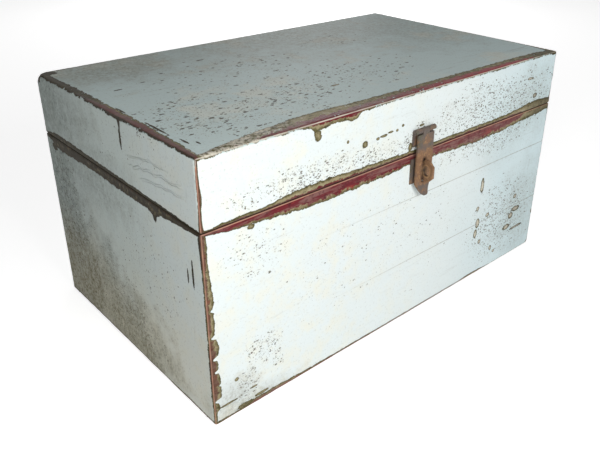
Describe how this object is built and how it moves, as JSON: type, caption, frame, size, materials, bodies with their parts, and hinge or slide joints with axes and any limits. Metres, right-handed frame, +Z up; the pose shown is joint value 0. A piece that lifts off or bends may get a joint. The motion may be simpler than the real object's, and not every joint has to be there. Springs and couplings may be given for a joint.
{
  "type": "painted wooden trunk",
  "caption": "Small flush-lidded wooden trunk in worn pale paint, with a hinged lid and a hasp that drops over a padlock staple.",
  "frame": {"origin": "middle of the flat underside, on the ground", "axes": "+X to the right along the front, +Y from the front to the back, +Z up; the hasp is on the -Y side"},
  "size_m": [0.5, 0.3219, 0.26],
  "materials": {
    "painted_wood": "old pale paint over olive and dark red, worn through along the arrises",
    "bare_wood": "bare and aged",
    "peg_wood": "bare",
    "rusty_iron": "brown rust",
    "dark_iron": "dark and patinated"
  },
  "bodies": {
    "case": {"case_front_upper_board": "painted_wood", "case_front_middle_board": "painted_wood", "case_front_lower_board": "painted_wood", "case_back_upper_board": "painted_wood", "case_back_middle_board": "painted_wood", "case_back_lower_board": "painted_wood", "case_left_upper_board": "painted_wood", "case_left_middle_board": "painted_wood", "case_left_lower_board": "painted_wood", "case_right_upper_board": "painted_wood", "case_right_middle_board": "painted_wood", "case_right_lower_board": "painted_wood", "floor_front_plank": "bare_wood", "floor_middle_plank": "bare_wood", "floor_back_plank": "bare_wood", "case_corner_pegs": "peg_wood", "floor_pegs": "peg_wood", "staple_plate": "dark_iron", "staple": "rusty_iron", "staple_screws": "dark_iron", "left_hinge_case_leaf": "dark_iron", "right_hinge_case_leaf": "dark_iron", "case_hinge_screws": "dark_iron", "left_hinge_pin": "rusty_iron", "right_hinge_pin": "rusty_iron"},
    "lid": {"lid_front_rail": "painted_wood", "lid_back_rail": "painted_wood", "lid_left_rail": "painted_wood", "lid_right_rail": "painted_wood", "lid_front_plank": "painted_wood", "lid_middle_plank": "painted_wood", "lid_back_plank": "painted_wood", "lid_corner_pegs": "peg_wood", "lid_top_pegs": "peg_wood", "left_hinge_lid_leaf": "dark_iron", "right_hinge_lid_leaf": "dark_iron", "lid_hinge_screws": "dark_iron", "hasp_leaf": "dark_iron", "hasp_leaf_screws": "dark_iron", "hasp_pin": "dark_iron"},
    "strap": {"hasp_strap": "rusty_iron"}
  },
  "joints": [
    {"name": "lid_hinge", "type": "hinge", "parent": "case", "child": "lid", "pos_m": [0, 0.1521, 0.19625], "axis": [-1, 0, 0], "range_deg": [0, 180]},
    {"name": "strap_hinge", "type": "hinge", "parent": "lid", "child": "strap", "pos_m": [0.01, -0.1519, 0.2205], "axis": [-1, 0, 0], "range_deg": [0, 175]}
  ]
}
